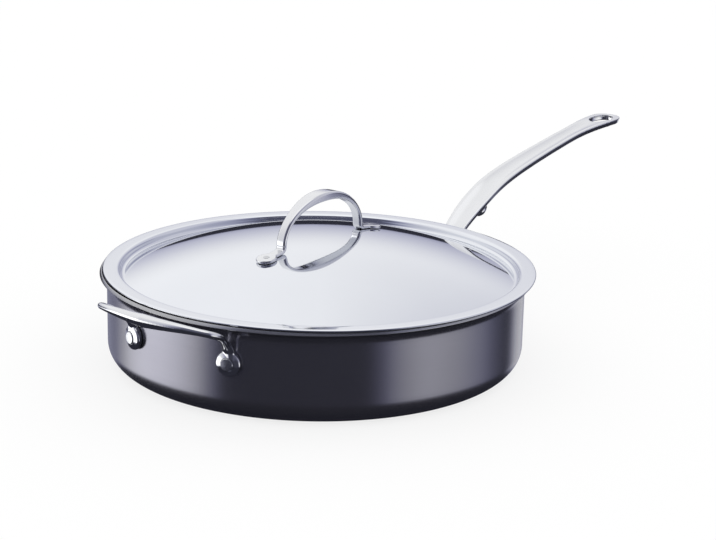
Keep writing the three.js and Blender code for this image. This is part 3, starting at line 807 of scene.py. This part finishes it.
mirror_steel, tree = blank_finish("mirror_polish")
place, _, _, marks = turned_places(tree)
lines = noise(marks, 1.0)
breath = noise(place, 14.0, 4.0)
metal(
    tree,
    Base_Color=clouded(breath.eased(0.3, 0.7), MIRROR_STEEL, 0.985),
    Roughness=0.052 + 0.03 * (breath - 0.5) + 0.012 * (lines - 0.5),
    Normal=bumped(lines, 0.000004, 0.05),
)

lid = placed("pressed_lid", [(r, 0, z) for r, z in lid_profile])
shaped_by(lid, sheet_tree, Steps=TURN_STEPS, Finish=mirror_steel)
lid.data.transform(Matrix.Translation(Vector(lid_shift)))
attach(lid, "lid")
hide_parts("lid")


# Lid handle: a strap of stainless steel forged into an arch, broad and thick at its top and slim at its
# legs, with a foot at each end that spreads into a disc. It stands on the dome and is polished.
ARCH_HALF = 0.042
ARCH_RISE = 0.03028
ARCH_WIDTH = 0.0115
ARCH_THICK = 0.006
ARCH_SPREAD = 0.2  # share of the arch, from a leg, that is still as slim as the leg
LEG_WIDTH = 0.0076
LEG_THICK = 0.0033
FOOT_LENGTH = 0.0226
FOOT_WIDTH = 0.014
FOOT_THICK = 0.0024
FOOT_BEND = 0.003
STRAP_ROUND = 0.0017  # radius on the corners of the strap's section
STRAP_RINGS = 150  # on half of the strap
STRAP_CLOSING = 1.3  # how much the rings close up towards the end of the foot
STRAP_CREASE = 50  # degrees, over which an edge of the strap stays sharp
TIP_THICK = 0.45  # of the foot's thickness, at the very end of the foot
TIP_THINNING = 0.0012  # how far from its end the foot is thinner
DISC_BLEND = 6  # how tightly a foot's disc runs into the leg
ARCH_PULL = 0.5523  # a quarter of an oval as one cubic curve
STRAP_STEPS = 200  # on each of the foot, its bend and half of the arch


def bar_outline(width, thick, corner, steps=5):
    """Across and up round a bar's section with round corners, and points near the ends of each flat."""
    w, t = width / 2, thick / 2
    r = min(corner, 0.96 * w, 0.96 * t)
    corners = ((w - r, t - r, 0), (r - w, t - r, 90), (r - w, r - t, 180), (w - r, r - t, 270))
    points = []
    for across, up, start in corners:
        turns = np.radians(np.linspace(start, start + 90, steps + 1))
        bend = [(across + r * math.cos(a), up + r * math.sin(a)) for a in turns]
        if points:
            points += along_flat(points[-1], bend[0])
        points += bend
    return np.array(points + along_flat(points[-1], points[0]))


def along_flat(first, second):
    shares = (0.12, 0.5, 0.88)
    return [tuple(a + share * (b - a) for a, b in zip(first, second)) for share in shares]


def on_dome(x):
    """A point on the middle of the dome's upper face, and the way up from it, before the lid is pushed over."""
    lean = math.asin(x / dome_radius)
    up = np.array([math.sin(lean), 0, math.cos(lean)])
    return np.array([0, 0, dome_z]) + dome_radius * up, up


def on_foot(x):
    point, up = on_dome(x)
    return point + (SEAT_GAP + FOOT_THICK / 2) * up


root = on_foot(ARCH_HALF)
bend_from = on_foot(ARCH_HALF + FOOT_BEND)
leg_foot = np.array([ARCH_HALF, 0, root[2] + FOOT_BEND])
arch_top = np.array([0, 0, root[2] + ARCH_RISE])
beside_leg = leg_foot + (0, 0, ARCH_PULL * (arch_top[2] - leg_foot[2]))
beside_top = arch_top + (ARCH_HALF * ARCH_PULL, 0, 0)
t = np.linspace(0, 1, STRAP_STEPS)[:, None]
foot_part = on_foot(ARCH_HALF + FOOT_LENGTH) * (1 - t) + bend_from * t
bend_part = bend_from * (1 - t) ** 2 + 2 * root * t * (1 - t) + leg_foot * t ** 2
arch_part = (
    leg_foot * (1 - t) ** 3 + 3 * beside_leg * t * (1 - t) ** 2
    + 3 * beside_top * t ** 2 * (1 - t) + arch_top * t ** 3
)
# Counted from the top of the arch, so that the rings close up towards the end of the foot.
strap = np.vstack([foot_part, bend_part[1:], arch_part[1:]])[::-1]
strap_line, strap_ways, strap_along = spaced(strap, STRAP_RINGS, STRAP_CLOSING)
foot_round = FOOT_WIDTH / 2
leg_top = FOOT_LENGTH + FOOT_BEND
arch_from = leg_top + ARCH_SPREAD * (strap_along[-1] - leg_top)
strap_rings = []
for point, way, along in zip(strap_line, strap_ways, strap_along):
    from_tip = strap_along[-1] - along
    on_leg = smooth(from_tip, FOOT_LENGTH - 2 * FOOT_BEND, FOOT_LENGTH + FOOT_BEND)
    on_arch = smooth(from_tip, arch_from, strap_along[-1])
    off_disc = min(max(from_tip, foot_round * TIP_LEAST), FOOT_WIDTH) - foot_round
    width = 2 * math.sqrt(foot_round ** 2 - off_disc ** 2)
    if off_disc > 0:
        width = (width ** DISC_BLEND + LEG_WIDTH ** DISC_BLEND) ** (1 / DISC_BLEND)
    end_thick = FOOT_THICK * (TIP_THICK + (1 - TIP_THICK) * min(1, from_tip / TIP_THINNING) ** 0.5)
    width += (ARCH_WIDTH - width) * on_arch
    thick = end_thick + (LEG_THICK - end_thick) * on_leg
    thick += (ARCH_THICK - thick) * on_arch
    strap_rings.append(ringed(point, way, (0, 1, 0), bar_outline(width, thick, STRAP_ROUND)))
other_half = [ring * (-1, 1, 1) for ring in strap_rings[:0:-1]]

lid_handle = gathered("forged_lid_handle", [skin(other_half + strap_rings)])
outward(lid_handle.data, STRAP_CREASE)
lid_handle.data.transform(Matrix.Translation(Vector(lid_shift)))
lid_handle.data.materials.append(cast_steel)
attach(lid_handle, "lid")
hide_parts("lid_handle")


# Lid rivets: one through each foot of the lid handle. The head lies under the lid, and the upper end is
# set and polished level with the foot.
LID_RIVET_RADIUS = 0.0022
LID_RIVET_HEAD_RADIUS = 0.004
LID_RIVET_HEAD = 0.0012
LID_RIVET_CROWN = 0.0001

foot_middle = ARCH_HALF + FOOT_LENGTH - foot_round
lid_seats = []
for x in (foot_middle, -foot_middle):
    point, up = on_dome(x)
    below_head = FOOT_THICK + 2 * SEAT_GAP + LID_SHEET
    lid_seats.append((point + (SEAT_GAP + FOOT_THICK) * up + lid_shift, -up, below_head))
lid_rivets = rivet_set(
    "lid_rivets", lid_seats, Shank=LID_RIVET_RADIUS, Head=LID_RIVET_HEAD_RADIUS, Thick=LID_RIVET_HEAD,
    Edge=RIVET_EDGE, Crown=LID_RIVET_CROWN, Steps=RIVET_STEPS, Finish=rivet_steel,
)
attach(lid_rivets, "lid")
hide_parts("lid_rivet_front", "lid_rivet_back")


# Studio: a plain pale floor under a white surround, with a large soft light on each side, a bright ceiling,
# and dark screens in front, which polished metal shows as its dark bands.
CAMERA_TURN = math.radians(-52)
FLOOR_HALF = 6.0
FLOOR_DROP = 0.0004
AROUND_LOW = (  # what a wall shows: degrees from the camera towards image right, and how bright
    (-180, 0.42), (-141, 0.40), (-129, 0.95), (-120, 1.75), (-108, 2.3), (-90, 2.3), (-78, 2.0),
    (-67, 1.40), (-59, 0.62), (-51, 0.06), (29, 0.06), (37, 0.30), (44, 0.78), (58, 1.20),
    (66, 1.22), (83, 0.95), (102, 0.56), (113, 0.26), (127, 0.07), (133, 0.07), (142, 0.90),
    (157, 0.90), (168, 0.40), (180, 0.35),
)
AROUND_HIGH = (  # what the lid and the tops of the handles show
    (-180, 1.06), (-165, 1.09), (-130, 1.10), (-95, 1.05), (-62, 0.75), (-44, 0.15), (38, 0.13), (60, 0.5),
    (95, 0.74), (140, 0.74), (165, 0.95), (180, 1.06),
)
# Behind the pan a dark line runs along the floor, and the surround is darker at its foot.
BEHIND = ((-180, 1), (-120, 1), (-100, 0), (100, 0), (120, 1), (180, 1))
BAND_PEAK = 4  # the brightness that a band's ramp, which ends at 1, stands for
CEILING = 1.2
GROUND = 0.035
AMBIENT = 0.92
HORIZON = 0.48  # how much darker that foot is
# How far up each part of the studio starts and ends, as the sine of its elevation.
HIGH_FROM = (-0.06, 0.10)
CEILING_FROM = (0.84, 0.93)
GROUND_TO = (-0.46, -0.37)
LINE_FROM = (-0.235, -0.21)
LINE_TO = (0.004, 0.028)
HORIZON_TO = (-0.02, 0.42)
COOL_TO = (0.1, 1.1)  # the brightness up to which the surround is tinted
FLOOR_GREY = (0.22, 0.22, 0.22, 1)
FLOOR_GLOW = 0.80
DARK_TINT = (0.80, 0.82, 1.18, 1)

floor = placed(
    "studio_floor",
    [(x * FLOOR_HALF, y * FLOOR_HALF, -FLOOR_DROP) for x, y in ((-1, -1), (1, -1), (1, 1), (-1, 1))],
    [(0, 1, 2, 3)],
)
pale, tree = blank_finish("pale_floor")
camera_ray = Wire.node(tree, "ShaderNodeLightPath", output="Is Camera Ray")
matt = Wire.node(tree, "ShaderNodeBsdfDiffuse", None, {"Color": FLOOR_GREY})
glow = Wire.node(tree, "ShaderNodeEmission", None, {"Strength": camera_ray * FLOOR_GLOW})
lit = Wire.node(tree, "ShaderNodeAddShader", None, {0: matt, 1: glow})
Wire.node(tree, "ShaderNodeOutputMaterial", None, {"Surface": lit})
floor.data.materials.append(pale)
floor.visible_glossy = False

studio = bpy.data.worlds.new("studio")
studio.use_nodes = True
bpy.context.scene.world = studio
tree = studio.node_tree
tree.nodes.clear()
gaze = Wire.node(tree, "ShaderNodeTexCoord", output="Generated")


def along_way(way):
    return Wire.node(tree, "ShaderNodeVectorMath", {"operation": "DOT_PRODUCT"}, {0: gaze, 1: way}, "Value")


to_camera = along_way((math.sin(CAMERA_TURN), -math.cos(CAMERA_TURN), 0))
to_right = along_way((math.cos(CAMERA_TURN), math.sin(CAMERA_TURN), 0))
upward = along_way((0, 0, 1))
round_about = to_right.sum("ARCTAN2", to_right, to_camera) / (2 * math.pi) + 0.5


def band(stops):
    stops = [((degrees + 180) / 360, bright / BAND_PEAK) for degrees, bright in stops]
    return BAND_PEAK * Wire.node(tree, "ShaderNodeValToRGB", {"stops": stops}, {0: round_about})


aloft = upward.eased(*HIGH_FROM)
overhead = upward.eased(*CEILING_FROM)
behind = band(BEHIND)
dark_line = upward.eased(*LINE_FROM) * (1 - upward.eased(*LINE_TO)) * behind
beneath = 1 - upward.eased(*GROUND_TO)
high = band(AROUND_HIGH) * (1 - HORIZON * behind * (1 - upward.eased(*HORIZON_TO)))
around = band(AROUND_LOW) * (1 - aloft) + high * aloft
around = around * (1 - overhead) + CEILING * overhead
around = around * (1 - beneath) + GROUND * beneath
around = around * (1 - dark_line) + GROUND * dark_line
rays = Wire.node(tree, "ShaderNodeLightPath", output="Is Camera Ray")
shown = rays.sum("MAXIMUM", rays, rays.beside("Is Transmission Ray"))
mirrored = rays.beside("Is Glossy Ray")
strength = shown + (1 - shown) * (mirrored * around + (1 - mirrored) * AMBIENT)
plain = Wire.node(tree, "ShaderNodeBackground", None, {"Color": (1, 1, 1, 1), "Strength": strength})
cool = Wire.node(tree, "ShaderNodeBackground", None, {"Color": DARK_TINT, "Strength": strength})
coolness = mirrored * (1 - shown) * (1 - around.eased(*COOL_TO))
background = Wire.node(tree, "ShaderNodeMixShader", None, {0: coolness, 1: plain, 2: cool})
Wire.node(tree, "ShaderNodeOutputWorld", None, {"Surface": background})


# Camera: a long lens a little above the rim, on the helper loop's side of the pan, as in the photograph.
# It looks a little past the target, to the right of it and above it, and is rolled by about a degree.
TARGET = Vector((0, 0, 0.030))
CAMERA_RISE = math.radians(17.464)
CAMERA_FAR = 1.3
AIM_RIGHT = 0.028701
AIM_UP = 0.030743
ROLL = math.radians(1.258)
SENSOR_WIDTH = 36
FOCAL_LENGTH = 94.386

away = Vector((
    math.sin(CAMERA_TURN) * math.cos(CAMERA_RISE),
    -math.cos(CAMERA_TURN) * math.cos(CAMERA_RISE),
    math.sin(CAMERA_RISE),
))
right = Vector((math.cos(CAMERA_TURN), math.sin(CAMERA_TURN), 0))
eye = TARGET + CAMERA_FAR * away
forward = (TARGET + AIM_RIGHT * right + AIM_UP * away.cross(right) - eye).normalized()
level = forward.cross(Vector((0, 0, 1))).normalized()
over = level.cross(forward)
side = math.cos(ROLL) * level + math.sin(ROLL) * over
top = math.cos(ROLL) * over - math.sin(ROLL) * level
lens = bpy.data.cameras.new("camera")
lens.sensor_width = SENSOR_WIDTH
lens.lens = FOCAL_LENGTH
camera = bpy.data.objects.new("camera", lens)
bpy.context.scene.collection.objects.link(camera)
camera.matrix_world = Matrix.Translation(eye) @ Matrix((side, top, -forward)).transposed().to_4x4()
bpy.context.scene.camera = camera
bpy.context.scene.view_settings.view_transform = "Standard"
